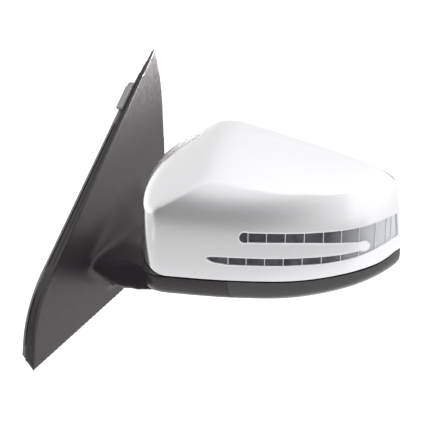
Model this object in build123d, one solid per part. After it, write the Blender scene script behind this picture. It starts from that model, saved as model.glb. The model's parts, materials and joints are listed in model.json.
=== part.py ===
from build123d import *
from functools import cache
from math import atan2, cos, degrees, hypot, pi, radians, sin, sqrt
import os

# A left-hand power-folding door mirror.  Millimetres.
# Frame: X points away from the door, Y to the rear of the car, Z up.
# Origin: on the door panel (X = 0), at the centre of the circle of the three studs.

# ---------------------------------------------------------------- driving dimensions
# mirror head, in its own frame: x outward from its inner wall, y rearward from the rim, z up
HEAD_AT = (68, -8, -32)
HEAD_SWEEP = 12
HEAD_W = 242
HEAD_D = 74
FRONT_FLAT_X = 62
FRONT_BEND = 0.0018
FRONT_CROWN_Z = 26
FRONT_CROWN = 0.0016
TOP_PEAK_X = 81.5
TOP_PEAK_Z = 148
TOP_FALL_OUT = 0.285
TOP_FALL_IN = 0.64
TOP_PEAK_SOFT = 12
TOP_SLOPE_Y = 0.21
TOP_CROWN_Y = 0.0052
BOTTOM_Z = -9
BOTTOM_RISE_X = 120
BOTTOM_RISE = 0.0018
R_FRONT, R_TOP, R_INNER, R_OUTER, R_BOTTOM = 45, 8, 28, 54, 14
ROUNDING_POWER = 2.4
RIM_EXTRA = 14
GRID = 41
WALL = 2.5

# parting line between the painted cap and the black lower cover, over head x
PARTING_Z = 14.5
PARTING_GAP = 1.2

# rear bezel and mirror glass
BEZEL_DEPTH = 11
BEZEL_LIP = 9
BOWL_FLOOR_Y = -20.5
BEZEL_SCREWS = ((42, 78), (88, 78), (160, 96))
GLASS_INSET = 13.5
GLASS_Y = 3.0
GLASS_T = 2.2
HEATER_T = 0.8
BACKING_T = 2.6

# fold axis and foot
PIVOT = (60, -40)
FOOT_R = 43.2
FOLD_GAP = 0.6
FOOT_TOP_Z = 13.2
POST_R = 6.5
TEETH_RING, TEETH_PINION = 36, 12
GEAR_MODULE = 0.8
GEAR_WIDTH = 6.5
GEAR_Z = 23.5
MOTOR_SHAFT_R = 1.4
GEARBOX_SCREWS_X = (95.5, 38)

# glass adjuster
ADJUSTER = (128, 66)
ADJUSTER_R = 34
ADJUSTER_FRONT_Y = -38
ADJUSTER_BACK_Y = -15
SCREW_REACH = 21
GIMBAL_Y = -9.5
PIN_R = 1.9
LUG_AT = 13
SOCKET_R = 4.2
RUNNING_FIT = 0.06
LUG_END_Y = -11.3
JACK_R = 2.5
JACK_FRONT_Y = -35.5
COVER_SCREW_TURNS = (60, 195, 300)
COVER_SCREW_R = 28.5

# indicator lens outline, over head x and z
LENS_T = 2.2
LENS_GAP = 0.25
LAMP_DEPTH, LAMP_DEPTH_AT_TIP = 10.5, 5
GLASS_SWING_Y = -19
RIB_PITCH = 16.1

# sail and mounting
GASKET_T = 3
SAIL_X_AT_ORIGIN = 11.7
SAIL_TILT = 0.0185
SAIL_WALL = 2.5
SAIL_FRONT_LOW, SAIL_FRONT_HIGH = (-93.5, -14.5), (97.2, 164.8)
SAIL_LOW_CORNER, SAIL_LOW_REAR = (-138, -104.5), (132, -50)
TIP_TAPER_Z, TIP_TAPER = 115, 6.1
LOW_TAPER, LOW_TAPER_RISE = 0.91, 11.5
STUD_CIRCLE_R = 42
STUD_R = 3
STUD_REACH = 18
STUD_TURNS = (72, 192, 312)
GROMMET_AT = (58, -33)
GROMMET_R = 13
GROMMET_BORE_R = 6

PEGS = ((-70, -58), (84, 72))
PEG_R = 4
GASKET_ROOM = 0.4
COVER_BOSSES = ((-95, -62), (62, 70), (92, -30))
FOOT_SPLIT_Z = -38.6
NECK_STEP = 0.6
ROOT_X, ROOT_Y, ROOT_Z = 12.5, -41, -29.4
KEEL_X, KEEL_Z, KEEL_RISE = 49, -50.5, 0.263
CLIP_X = -1.5

HEAD = Location(HEAD_AT, (0, 0, HEAD_SWEEP))
POST_AT = (HEAD * Pos(*PIVOT, 0)).position


# ---------------------------------------------------------------- head form
def soft_min(a, b, soft):
    return 0.5 * (a + b - sqrt((a - b) ** 2 + soft * soft))


def outside(x, y, z, inset):
    """Below zero inside the head's rounded form, moved inward by inset."""
    past = max(0, x - FRONT_FLAT_X)
    front_y = -HEAD_D + FRONT_BEND * past ** 2 + 0.0006 * min(0, x - FRONT_FLAT_X) ** 2
    front_y += FRONT_CROWN * (z - FRONT_CROWN_Z) ** 2
    front = (front_y - y) / sqrt(1 + (2 * FRONT_BEND * past) ** 2)
    outer_fall = TOP_PEAK_Z - TOP_FALL_OUT * (x - TOP_PEAK_X)
    inner_fall = TOP_PEAK_Z + 12 + TOP_FALL_IN * (x - TOP_PEAK_X)
    top_z = soft_min(outer_fall, inner_fall, TOP_PEAK_SOFT) + TOP_SLOPE_Y * y - TOP_CROWN_Y * y * y
    top = (z - top_z) / 1.25
    inner = 0.0009 * (z - 50) ** 2 - x
    outer = x - HEAD_W + 0.0012 * (z - 40) ** 2
    bottom = BOTTOM_Z + BOTTOM_RISE * max(0, x - BOTTOM_RISE_X) ** 2 - z
    total = 0
    sides = (front, R_FRONT), (top, R_TOP), (inner, R_INNER), (outer, R_OUTER), (bottom, R_BOTTOM)
    for gap, radius in sides:
        left = max(radius - inset, min(radius, 4))
        total += max(0, 1 + (gap + inset) / left) ** ROUNDING_POWER
    return total - 1


def on_form(origin, direction, inset):
    """The point where a ray from inside the head leaves its form."""
    near, far = 0, 280
    for _ in range(36):
        middle = (near + far) / 2
        x, y, z = (o + d * middle for o, d in zip(origin, direction))
        if outside(x, y, z, inset) < 0:
            near = middle
        else:
            far = middle
    return tuple(o + d * near for o, d in zip(origin, direction))


def closed_form(skin):
    """Solid between a bowl-shaped face and the flat ring and disc that shut its mouth."""
    hub = Vector(100, RIM_EXTRA, 50)
    faces = [skin]
    inner_sides = []
    for edge in skin.edges():
        start, end = (hub + (point - hub) * 0.4 for point in (edge @ 0, edge @ 1))
        side = Edge.make_line(start, end)
        faces.append(Face.make_surface_from_curves(edge, side))
        inner_sides.append(side)
    faces.append(Face(Wire(inner_sides)))
    return Solid(Shell(faces))


@cache
def head_form(inset):
    """Solid bowl of the head, moved inward by inset, open side at y = RIM_EXTRA."""
    origin = (100, RIM_EXTRA, 50)
    rows = []
    for i in range(GRID):
        row = []
        for j in range(GRID):
            u, v = 2 * i / (GRID - 1) - 1, 2 * j / (GRID - 1) - 1
            p, q = u * sqrt(1 - v * v / 2), v * sqrt(1 - u * u / 2)
            lean = hypot(p, q) * pi / 2
            turn = atan2(q, p)
            direction = (1.7 * sin(lean) * cos(turn), -cos(lean), sin(lean) * sin(turn))
            row.append(on_form(origin, direction, inset))
        rows.append(row)
    skin = Face.make_surface_from_array_of_points(rows, tol=0.05, smoothing=(1, 0.5, 0.2), max_deg=5)
    return closed_form(skin)


@cache
def head_shell():
    """Outer wall of the whole head, before it is parted."""
    return head_form(0) - head_form(WALL)


# ---------------------------------------------------------------- small helpers
def block(x0, x1, y0, y1, z0, z1):
    size = (x1 - x0, y1 - y0, z1 - z0)
    return Pos(x0, y0, z0) * Box(*size, align=(Align.MIN, Align.MIN, Align.MIN))


def upright(radius, length):
    return Cylinder(radius, length, align=(Align.CENTER, Align.CENTER, Align.MIN))


def rod_x(radius, x0, x1, y, z):
    return Pos(x0, y, z) * Rot(0, 90, 0) * upright(radius, x1 - x0)


def rod_y(radius, x, y0, y1, z):
    return Pos(x, y0, z) * Rot(-90, 0, 0) * upright(radius, y1 - y0)


def rod_z(radius, x, y, z0, z1):
    return Pos(x, y, z0) * upright(radius, z1 - z0)


def tube_z(outer, inner, x, y, z0, z1):
    return rod_z(outer, x, y, z0, z1) - rod_z(inner, x, y, z0 - 1, z1 + 1)


def prism_y(face, y0, y1):
    """Solid from a face drawn in the x-z plane."""
    return extrude(Pos(0, y0, 0) * face, y1 - y0, dir=(0, 1, 0))


def prism_z(points, z0, z1):
    """Solid from a straight-sided plan outline."""
    face = Face(Wire.make_polygon([(x, y, z0) for x, y in points]))
    return extrude(face, z1 - z0, dir=(0, 0, 1))


def save(name, shape, place=Location()):
    """Write one node: one solid, or a group of separate solids."""
    solids = list((place * shape).solids())
    export_step(solids[0] if len(solids) == 1 else Compound(children=solids), f"parts/{name}.step")


def redrawn(edge):
    """The same edge as a plain line, arc or spline."""
    if edge.geom_type in (GeomType.LINE, GeomType.CIRCLE):
        return edge
    steps = max(4, int(edge.length / 6))
    return Spline([edge @ (k / steps) for k in range(steps + 1)], tangents=(edge % 0, edge % 1))


def grown(face, amount):
    """The face with its outline moved outward by amount."""
    outline = offset(face, amount=amount).faces()[0].outer_wire()
    return Face(Wire([redrawn(edge) for edge in outline.edges()]))


# ---------------------------------------------------------------- outlines on the head
def parting_z(x):
    rise = 0.0016 * max(0, x - 130) ** 2 + 0.0142 * max(0, x - 215) ** 2
    return PARTING_Z + rise + 0.0245 * max(0, 33 - x) ** 2


def above_parting(shift, y0=-90, y1=30):
    """Everything above the parting line moved up by shift."""
    line = Spline([(x, 0, parting_z(x) + shift) for x in range(-9, 262, 15)])
    start, end = line @ 0, line @ 1
    top = Polyline(end, (end.X, 0, 200), (start.X, 0, 200), start)
    return prism_y(Face(Wire([line, *top.edges()])), y0, y1)


def fork_face(grow=0):
    """Outline of the two-pronged indicator lens, open to the head's tip."""
    top = Spline((107, 0, 58.9), (165, 0, 59.1), (200, 0, 61.9), (222, 0, 66.6), (250, 0, 75))
    bottom = Spline((250, 0, 57.5), (226, 0, 44.8), (201, 0, 34.9), (178, 0, 30.5), (150, 0, 28.7), (90, 0, 28.4))
    low_tip = Spline((90, 0, 28.4), (76, 0, 30.4), (70.3, 0, 34), (73.5, 0, 36.1), (82, 0, 36.5))
    low_top = Spline((82, 0, 36.5), (155, 0, 36.7), (186, 0, 38.6), (203, 0, 41.1))
    finger = ThreePointArc((203, 0, 41.1), (210.2, 0, 44.9), (203, 0, 47.9))
    up_bottom = Spline((203, 0, 47.9), (186, 0, 48.2), (155, 0, 49.1), (107, 0, 49.3))
    up_tip = ThreePointArc((107, 0, 49.3), (99.3, 0, 54.1), (107, 0, 58.9))
    end = Line((250, 0, 75), (250, 0, 57.5))
    face = Face(Wire([top, end, bottom, low_tip, low_top, finger, up_bottom, up_tip]))
    return grown(face, grow) if grow else face


def rim_point(turn, inset):
    """Point of the rim outline in the plane y = 0, seen from inside the head."""
    return on_form((100, 0, 55), (1.7 * cos(turn), 0, sin(turn)), inset)


def rim_prism(inset, y0, y1, parted=True):
    """Prism of the rim outline moved inward, cut off along the parting line."""
    count = 60
    points = [rim_point(pi / 2 + 2 * pi * k / count, inset) for k in range(count)]
    prism = prism_y(Face(Wire(Spline(points, periodic=True))), y0, y1)
    return prism & above_parting(inset + 0.3) if parted else prism


# ---------------------------------------------------------------- gears and springs
def gear(teeth, module, width, bore, backlash=0.12):
    """Straight-cut gear with flat-sided teeth, tooth gaps opened for running clearance."""
    pitch = teeth * module / 2
    root, tip = pitch - 1.15 * module, pitch + 0.8 * module
    step = 2 * pi / teeth
    points = []
    for k in range(teeth):
        middle = k * step
        for radius, half in ((root, 0.36), (pitch, 0.25 - backlash / (2 * pi * module)), (tip, 0.13)):
            points.append((radius, middle - half * step))
        for radius, half in ((tip, 0.13), (pitch, 0.25 - backlash / (2 * pi * module)), (root, 0.36)):
            points.append((radius, middle + half * step))
    outline = Wire.make_polygon([(r * cos(a), r * sin(a), 0) for r, a in points])
    return extrude(Face(outline), width, dir=(0, 0, 1)) - rod_z(bore, 0, 0, -1, width + 1)


def coil_spring(radius, wire, height, turns):
    """Round-wire spring with its ends left open."""
    path = Helix(pitch=(height - wire) / turns, height=height - wire, radius=radius)
    section = Plane(path @ 0, z_dir=path % 0) * Circle(wire / 2)
    return Pos(0, 0, wire / 2) * sweep(section, path=path)


# ---------------------------------------------------------------- head: outer shells
def foot_zone(radius, top_z):
    """Room under the head that belongs to the fixed foot."""
    round_end = rod_z(radius, *PIVOT, -30, top_z)
    return round_end + block(-40, PIVOT[0], -120, 60, -30, top_z)


def open_side(y=0):
    return block(-60, 300, -120, y, -60, 220)


def front_cap():
    shell = head_shell() & open_side()
    shell = shell & above_parting(0)
    shell = shell - prism_y(fork_face(), -90, -1.5)
    for x, z in ((40, 92), (150, 96), (95, 112), (205, 84)):
        boss = rod_y(4, x, -75, -46 if x < 200 else -30, z) - rod_y(1.4, x, -60, -20, z)
        shell = shell + (boss & head_form(WALL - 0.4))
    return shell


def lower_cover():
    """Black tray: outer wall below the cap, a round wall at the foot, and a floor over the foot."""
    top_z = FOOT_TOP_Z + 3
    below = open_side() - above_parting(-PARTING_GAP, y0=-130, y1=60)
    room = foot_zone(FOOT_R + FOLD_GAP, FOOT_TOP_Z + 1)
    wall = rod_z(FOOT_R + FOLD_GAP + 2, *PIVOT, -30, top_z) - room
    wall = wall & block(PIVOT[0], 200, -120, 0, -30, top_z)
    floor = block(-20, PIVOT[0], -120, 0, FOOT_TOP_Z + 1, top_z)
    floor = floor + (rod_z(FOOT_R + 1, *PIVOT, FOOT_TOP_Z + 1, top_z) & open_side())
    inside = floor + wall
    back = block(PIVOT[0], 260, -2, 0, -30, 60) - foot_zone(FOOT_R + FOLD_GAP, 60)
    tray = (head_shell() & below) - room
    tray = tray + (inside & head_form(0) & below)
    tray = tray + (back & below & head_form(0))
    tray = tray + (inside & head_form(WALL + 0.2))
    return tray - rod_z(17.5, *PIVOT, 0, 40)


def rear_bezel():
    """Channel-section ring behind the cap, with the bowl that the glass tilts in."""
    ring = rim_prism(0.3, 0.2, BEZEL_DEPTH) - rim_prism(WALL, -1, BEZEL_DEPTH - 2)
    bowl = rim_prism(BEZEL_LIP - 2, BOWL_FLOOR_Y - 2, BEZEL_DEPTH - 1) & head_form(WALL + 0.4)
    room = rim_prism(BEZEL_LIP, BOWL_FLOOR_Y, BEZEL_DEPTH + 2) & head_form(WALL + 2.4)
    ring = ring + bowl - room
    ring = ring - rod_y(ADJUSTER_R + 1, ADJUSTER[0], -40, -10, ADJUSTER[1])
    for x, z in BEZEL_SCREWS:
        ring = ring - rod_y(1.6, x, -30, -10, z)
    return ring - block(28, 100, -40, -18, 0, 52) - lamp_box(fork_face(3.2), -2.5, -0.4, 0.4)


def indicator_lens():
    skin = (head_form(0.1) - head_form(LENS_T)) & open_side(-1.9)
    return skin & prism_y(fork_face(-LENS_GAP), -90, 0)


def lamp_box(face, back_y, top, low):
    """Room of the lamp behind the lens: deep in front, shallow where the glass swings past it."""
    deep = prism_y(face, -90, GLASS_SWING_Y) - head_form(LAMP_DEPTH + low)
    shallow = prism_y(face, GLASS_SWING_Y, back_y) - head_form(LAMP_DEPTH_AT_TIP + low)
    return (deep + shallow) & head_form(WALL + top)


def indicator_housing():
    outer = lamp_box(fork_face(2.4), -3, 0.1, 0)
    return outer - lamp_box(fork_face(0.8), -5, -0.5, -1.2)


def indicator_board():
    sheet = (head_form(LAMP_DEPTH - 2.6) - head_form(LAMP_DEPTH - 1.5)) & open_side(GLASS_SWING_Y - 1)
    return sheet & prism_y(fork_face(-0.6), -90, 0)


def led_places():
    """Head x and z of each lamp: one behind each cell between two ribs."""
    upper = [(107 + RIB_PITCH * (k + 0.5), 54) for k in range(6)]
    lower = [(90 + RIB_PITCH * (k + 0.5), 32.6) for k in range(6)]
    return upper + lower


def indicator_leds():
    lamps = []
    for x, z in led_places():
        spot = on_form((x, -5, z), (0, -1, 0), 6.9)
        slope = degrees(atan2(2 * FRONT_BEND * max(0, x - FRONT_FLAT_X), 1))
        lamps.append(Pos(*spot) * Rot(0, 0, slope) * Box(4, 1.2, 3))
    return Compound(children=lamps)


# ---------------------------------------------------------------- head: fold drive
def obround(radius, small, z0, z1):
    """Outline round the pivot and the motor axis, as a plan hull."""
    x, y = PIVOT
    reach = (TEETH_RING + TEETH_PINION) * GEAR_MODULE / 2
    big = Pos(x, y) * Circle(radius)
    far = Pos(x + reach, y) * Circle(small)
    hull = make_hull([*big.edges(), *far.edges()])
    return extrude(Pos(0, 0, z0) * hull, z1 - z0, dir=(0, 0, 1))


def motor_axis():
    return PIVOT[0] + (TEETH_RING + TEETH_PINION) * GEAR_MODULE / 2, PIVOT[1]


def fold_gearbox_housing():
    mx, my = motor_axis()
    body = obround(18, 8.5, 20.7, 36)
    body = body + block(86, 99, my - 7, my + 7, 30, 36) + block(33, 46, my - 7, my + 7, 30, 36)
    body = body - obround(16, 6.6, 22.4, 33.8) - rod_z(POST_R + RUNNING_FIT, *PIVOT, 10, 40)
    body = body - rod_z(2.2, mx, my, 30, 40)
    for x in GEARBOX_SCREWS_X:
        body = body - rod_z(1.4, x, my, 29, 37)
    return body


def detent_cam():
    cam = tube_z(15, POST_R + 0.4, *PIVOT, 17, 20.7)
    for k in range(3):
        tooth = Pos(*PIVOT) * Rot(0, 0, 120 * k) * block(0, 30, -2, 2, 0, 30)
        cam = cam + (tube_z(14.5, 9, *PIVOT, 16.8, 18) & tooth)
    return cam


def fold_motor():
    mx, my = motor_axis()
    can = rod_z(8.6, mx, my, 36, 60) & block(mx - 7.2, mx + 20, my - 20, my + 20, 0, 100)
    can = can + rod_z(3, mx, my, 60, 62)
    return can - rod_z(MOTOR_SHAFT_R + RUNNING_FIT, mx, my, 30, 50)


def fold_pinion():
    mx, my = motor_axis()
    half_step = 180 / TEETH_PINION
    wheel = gear(TEETH_PINION, GEAR_MODULE, GEAR_WIDTH, 0.9)
    return Pos(mx, my, GEAR_Z) * Rot(0, 0, half_step) * wheel + rod_z(MOTOR_SHAFT_R, mx, my, 22.8, 48)


# ---------------------------------------------------------------- head: frame and adjuster
def mirror_frame():
    low = [(30, 70), (99.5, 70), (99.5, 30), (148, 30), (148, 76), (167, 88)]
    high = [(167, 103), (150, 110), (62, 114), (34, 98)]
    face = Face(Wire.make_polygon([(x, 0, z) for x, z in low + high]))
    plate = prism_y(face, -42, ADJUSTER_FRONT_Y - 0.2)
    plate = plate + prism_y(face, -46, -42) - prism_y(offset(face, amount=-2), -47, -42)
    for x, z, r in ((60, 93, 9), (106, 104, 4), (130, 66, 14)):
        plate = plate - rod_y(r, x, -50, -30, z)
    my = PIVOT[1]
    for web_x, foot_x0, foot_x1 in ((88.5, 88.5, 101), (42, 33, 45.5)):
        plate = plate + block(web_x, web_x + 3.5, my - 7, my + 6, 36.2, 72)
        plate = plate + block(foot_x0, foot_x1, my - 7, my + 6, 36, 38)
    for x in GEARBOX_SCREWS_X:
        plate = plate - rod_z(1.6, x, my, 35, 39)
    for x, z in BEZEL_SCREWS:
        boss = rod_y(4, x, ADJUSTER_FRONT_Y - 1, BOWL_FLOOR_Y - 2, z)
        plate = plate + boss - rod_y(1.3, x, -36, BOWL_FLOOR_Y, z)
    return plate & head_form(WALL + 0.6)


def frame_screws():
    y = PIVOT[1]
    return Compound(children=[rod_z(3, x, y, 38, 40) + rod_z(1.3, x, y, 31, 39) for x in GEARBOX_SCREWS_X])


def bezel_screws():
    """Screws through the bowl floor that hold the bezel on the frame, behind the glass."""
    screws = []
    for x, z in BEZEL_SCREWS:
        head = rod_y(3, x, BOWL_FLOOR_Y, BOWL_FLOOR_Y + 1, z)
        screws.append(head + rod_y(1.3, x, -34, BOWL_FLOOR_Y + 0.5, z))
    return Compound(children=screws)


def cover_screw_places():
    """Head x and z of the screws that shut the adjuster."""
    x, z = ADJUSTER
    turns = [radians(turn) for turn in COVER_SCREW_TURNS]
    return [(x + COVER_SCREW_R * cos(turn), z + COVER_SCREW_R * sin(turn)) for turn in turns]


def adjuster_housing():
    x, z = ADJUSTER
    y0, y1 = ADJUSTER_FRONT_Y, ADJUSTER_BACK_Y - 2.5
    body = rod_y(ADJUSTER_R, x, y0, y1, z) - rod_y(ADJUSTER_R - 2, x, y0 + 2, y1 + 1, z)
    for dx, dz in ((SCREW_REACH, 0), (0, SCREW_REACH)):
        body = body + rod_y(5, x + dx, y0, y0 + 3.2, z + dz) - rod_y(3, x + dx, y0 - 1, y0 + 9, z + dz)
    for px, pz in cover_screw_places():
        body = body + rod_y(3, px, y0, y1, pz) - rod_y(1.3, px, y0 + 4, y1 + 1, pz)
    return body


def adjuster_cover():
    x, z = ADJUSTER
    y0 = ADJUSTER_BACK_Y - 2.5
    cover = rod_y(ADJUSTER_R, x, y0, ADJUSTER_BACK_Y, z)
    for side in (-1, 1):
        at = x + side * LUG_AT
        lug = block(at - 2, at + 2, ADJUSTER_BACK_Y - 0.5, GIMBAL_Y, z - 3, z + 3)
        lug = lug + rod_x(3, at - 2, at + 2, GIMBAL_Y, z)
        hole = rod_x(PIN_R + RUNNING_FIT, at - 3, at + 3, GIMBAL_Y, z)
        cover = cover + lug - hole
    for dx, dz in ((SCREW_REACH, 0), (0, SCREW_REACH)):
        cover = cover - rod_y(4, x + dx, y0 - 1, 0, z + dz)
    for px, pz in cover_screw_places():
        cover = cover - rod_y(1.6, px, y0 - 1, 0, pz)
    return cover


def adjuster_screws():
    screws = []
    for x, z in cover_screw_places():
        head = rod_y(2.6, x, ADJUSTER_BACK_Y, ADJUSTER_BACK_Y + 0.8, z)
        screws.append(head + rod_y(1.2, x, -28, ADJUSTER_BACK_Y + 0.4, z))
    return Compound(children=screws)


def adjuster_motors():
    """Two small motors with their worms, lying against the nut gears."""
    x, z = ADJUSTER
    y, aside = -27.6, 12.2
    standing = rod_z(6.3, x - aside, y, z - 7, z + 13.5) + rod_z(1, x - aside, y, z + 13, z + 27)
    standing = standing + rod_z(2.4, x - aside, y, z + 15, z + 26)
    lying = rod_x(6.3, x - 4, x + 11, y, z - aside) + rod_x(1, x + 10, x + 28, y, z - aside)
    lying = lying + rod_x(2.4, x + 14, x + 27, y, z - aside)
    return Compound(children=[standing, lying])


def nut_gear():
    """Toothed nut on the adjuster's own axis, bore along y, at the origin of its reach."""
    disc = Rot(-90, 0, 0) * gear(22, 0.75, 6, JACK_R + RUNNING_FIT)
    return Pos(0, -34.2, 0) * disc


def jackscrew():
    return rod_y(JACK_R, 0, JACK_FRONT_Y, GIMBAL_Y, 0) + Pos(0, GIMBAL_Y, 0) * Sphere(3.5)


def gimbal_ring():
    x, z = ADJUSTER
    ring = rod_y(10.5, x, GIMBAL_Y - 1.9, GIMBAL_Y + 1.9, z) - rod_y(7, x, -20, 0, z)
    reach = LUG_AT + 2
    pins = rod_x(PIN_R, x - reach, x + reach, GIMBAL_Y, z)
    pins = pins + rod_z(PIN_R, x, GIMBAL_Y, z - reach, z + reach)
    return ring + (pins - rod_y(8, x, -20, 0, z))


# ---------------------------------------------------------------- glass
def glass_layer(y0, y1):
    return rim_prism(GLASS_INSET, y0, y1)


def mirror_glass():
    return glass_layer(GLASS_Y - GLASS_T, GLASS_Y)


def heater_pad():
    y1 = GLASS_Y - GLASS_T
    return rim_prism(GLASS_INSET + 4, y1 - HEATER_T, y1)


def glass_backing():
    x, z = ADJUSTER
    y1 = GLASS_Y - GLASS_T
    y0 = y1 - HEATER_T - BACKING_T
    plate = glass_layer(y0, y1) - rim_prism(GLASS_INSET + 4, y1 - HEATER_T, y1 + 1)
    for side in (-1, 1):
        at = z + side * LUG_AT
        lug = block(x - 3, x + 3, LUG_END_Y, y0, at - 2, at + 2)
        plate = plate + lug - rod_z(PIN_R + RUNNING_FIT, x, GIMBAL_Y, at - 3, at + 3)
    for dx, dz in ((SCREW_REACH, 0), (0, SCREW_REACH)):
        plate = plate + rod_y(SOCKET_R + 1, x + dx, LUG_END_Y, y0, z + dz)
        plate = plate - rod_y(SOCKET_R, x + dx, -20, GIMBAL_Y + 4.6, z + dz)
    return plate


# ---------------------------------------------------------------- fold axis, fixed side
def pivot_post():
    post = rod_z(15, *PIVOT, 10, 12.5) + rod_z(POST_R, *PIVOT, 10, 62)
    post = post - tube_z(POST_R + 1, POST_R - 1, *PIVOT, 58.6, 60.2)
    return post - rod_z(3.5, *PIVOT, 0, 70)


def detent_ring():
    ring = tube_z(15, POST_R, *PIVOT, 12.5, 16.5)
    for k in range(3):
        ring = ring - Pos(*PIVOT) * Rot(0, 0, 120 * k) * block(8, 30, -2.6, 2.6, 15.5, 17)
    return ring


def fold_ring_gear():
    return Pos(*PIVOT, GEAR_Z) * gear(TEETH_RING, GEAR_MODULE, GEAR_WIDTH, POST_R)


def thrust_washer():
    return tube_z(9.4, POST_R, *PIVOT, 36.3, 37.5)


def pivot_spring():
    return Pos(*PIVOT, 37.5) * coil_spring(8, 1.9, 18.5, 5)


def spring_seat():
    return tube_z(9.6, POST_R, *PIVOT, 56, 58.6)


def post_retaining_clip():
    return tube_z(9, POST_R - 1, *PIVOT, 58.6, 60.2) - Pos(*PIVOT) * block(0, 20, -3, 3, 50, 70)


def pivot_seal():
    return tube_z(21, 17.4, *PIVOT, FOOT_TOP_Z, FOOT_TOP_Z + 0.7)


# ---------------------------------------------------------------- foot and sail, in the door's frame
def sail_face(inset=0):
    """Sail outline in the y-z plane."""
    rear = Spline((0, 98.5, 166), (0, 104.5, 150), (0, 113, 95), (0, 132, -50))
    low = Line((0, *SAIL_LOW_REAR), (0, *SAIL_LOW_CORNER))
    corner = Line((0, *SAIL_LOW_CORNER), (0, -134.5, -82))
    bow = Spline((0, -134.5, -82), (0, -129.8, -63.5), (0, -119, -42.5), (0, *SAIL_FRONT_LOW))
    front = Line((0, *SAIL_FRONT_LOW), (0, *SAIL_FRONT_HIGH))
    tip = Line((0, *SAIL_FRONT_HIGH), (0, 98.5, 166))
    face = Face(Wire([rear, low, corner, bow, front, tip]))
    return grown(face, -inset) if inset else face


def sail_prism(inset, x0, x1):
    return extrude(Pos(x0, 0, 0) * sail_face(inset), x1 - x0, dir=(1, 0, 0))


def under_sail_plane(shift):
    """Everything on the door's side of the sloping outer face, moved in by shift."""
    low, high = (SAIL_X_AT_ORIGIN - SAIL_TILT * z - shift for z in (-160, 200))
    side = Polyline((-60, 0, -160), (low, 0, -160), (high, 0, 200), (-60, 0, 200), close=True)
    return prism_y(Face(Wire(side.edges())), -200, 200)


def leaning_away(shift=0):
    """Room on the door's side that the sail leaves free at its tip and along its lower edge."""
    start = TIP_TAPER_Z - shift * TIP_TAPER
    tip = Polyline((-20, 0, start - 20 * TIP_TAPER), (12, 0, start + 12 * TIP_TAPER), (-20, 0, 200), close=True)
    (y0, z0), (y1, z1) = SAIL_LOW_CORNER, SAIL_LOW_REAR
    rise = LOW_TAPER_RISE + shift * hypot(1, LOW_TAPER)
    points = ((-20, rise + 20 * LOW_TAPER), (15, rise - 15 * LOW_TAPER), (15, -40), (-20, -40))
    low = Polyline(*((x, y0, z0 + z) for x, z in points), close=True)
    along = Vector(0, y1 - y0, z1 - z0)
    start_face = Pos(along * -0.1) * Face(Wire(low.edges()))
    return prism_y(Face(Wire(tip.edges())), -60, 160) + extrude(start_face, along.length * 1.2, dir=along)


def sail_body(inset, x0, x1):
    """The sail between two planes, with its tip and lower edge leaning away from the door."""
    return sail_prism(inset, x0, x1) - leaning_away(inset)


def crest(y):
    """Where the raised line of the foot runs: x and z at each y."""
    along = min(60, max(ROOT_Y, y)) - ROOT_Y
    return ROOT_X + 0.385 * along, ROOT_Z + 0.384 * min(66, along) - 0.008 * max(0, y - 50) ** 2


def foot_top(x, y):
    crest_x, crest_z = crest(y)
    low_z = HEAD_AT[2] + FOOT_TOP_Z - NECK_STEP
    if x < crest_x:
        return crest_z + 0.9 * (crest_x - x)
    along = min(1, (x - crest_x) / (54 - crest_x))
    return crest_z + (low_z - crest_z) * along


def foot_bottom(x, y):
    """Underside of the foot: it sinks from its root by the door, then rises towards the head."""
    behind = max(0, y - ROOT_Y)
    root_z = max(ROOT_Z - 0.85 * behind, -60)
    sunk = root_z - min(1, max(0, x - ROOT_X) / (KEEL_X - ROOT_X)) * max(0, root_z - KEEL_Z)
    return sunk + KEEL_RISE * max(0, x - KEEL_X)


def height_prism(height, shift, up):
    """Solid above or below a height field over the foot's plan."""
    rows = []
    for i in range(24):
        x = 2 + 126 * i / 23
        rows.append([(x, y, height(x, y) + shift) for y in (-82 + 190 * j / 39 for j in range(40))])
    skin = Face.make_surface_from_array_of_points(rows, tol=0.05, smoothing=(1, 0.5, 0.2), max_deg=5)
    return extrude(skin, 120, dir=(0, 0, 1 if up else -1))


def neck(inset):
    """Arm fairing between the sail and the head, moved inward by inset."""
    front = Spline((4, ROOT_Y, 0), (ROOT_X, ROOT_Y, 0), (49, -41.5, 0), (88, -54, 0), (112, -66, 0))
    hidden = Polyline((112, -66, 0), (122, -30, 0), (112, -2, 0))
    rear = Spline((112, -2, 0), (86, 14, 0), (50, 46, 0), (22, 90, 0), (4, 102, 0))
    shut = Line((4, 102, 0), (4, ROOT_Y, 0))
    plan = Face(Wire([front, *hidden.edges(), rear, shut]))
    if inset:
        plan = grown(plan, -inset)
    body = extrude(Pos(0, 0, -80) * plan, 130, dir=(0, 0, 1))
    body = body & height_prism(foot_top, -inset, up=False)
    return body & height_prism(foot_bottom, inset, up=True)


def foot_disc(inset):
    """Foot under the head: the head's own form below the cap, ended round the fold axis."""
    zone = foot_zone(FOOT_R - inset, FOOT_TOP_Z - inset) & block(12, 200, -120, -1 - inset, -60, 60)
    return HEAD * (zone & head_form(inset))


@cache
def foot_walls():
    """Hollow shell of the whole fixed side, before the bottom plate is split off."""
    outer = (sail_body(0, GASKET_T, 20) & under_sail_plane(0)) + neck(0) + foot_disc(0)
    hollow = (sail_body(SAIL_WALL, -10, 20) & under_sail_plane(SAIL_WALL)) + neck(SAIL_WALL)
    hollow = hollow + foot_disc(SAIL_WALL) + block(-5, 9, -20, 90, -45, -24)
    return outer - hollow


def foot_bottom_zone(gap=0):
    return block(16 + gap, 220, -120, 120, -90, FOOT_SPLIT_Z - gap)


def sail_cover():
    shell = foot_walls() - foot_bottom_zone()
    shell = shell - rod_z(17, POST_AT.X, POST_AT.Y, -40, 20)
    for y, z in COVER_BOSSES:
        shell = shell + (rod_x(4.5, 6.8, 16, y, z) & under_sail_plane(1)) - rod_x(1.3, 0, 9, y, z)
    return shell


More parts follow.
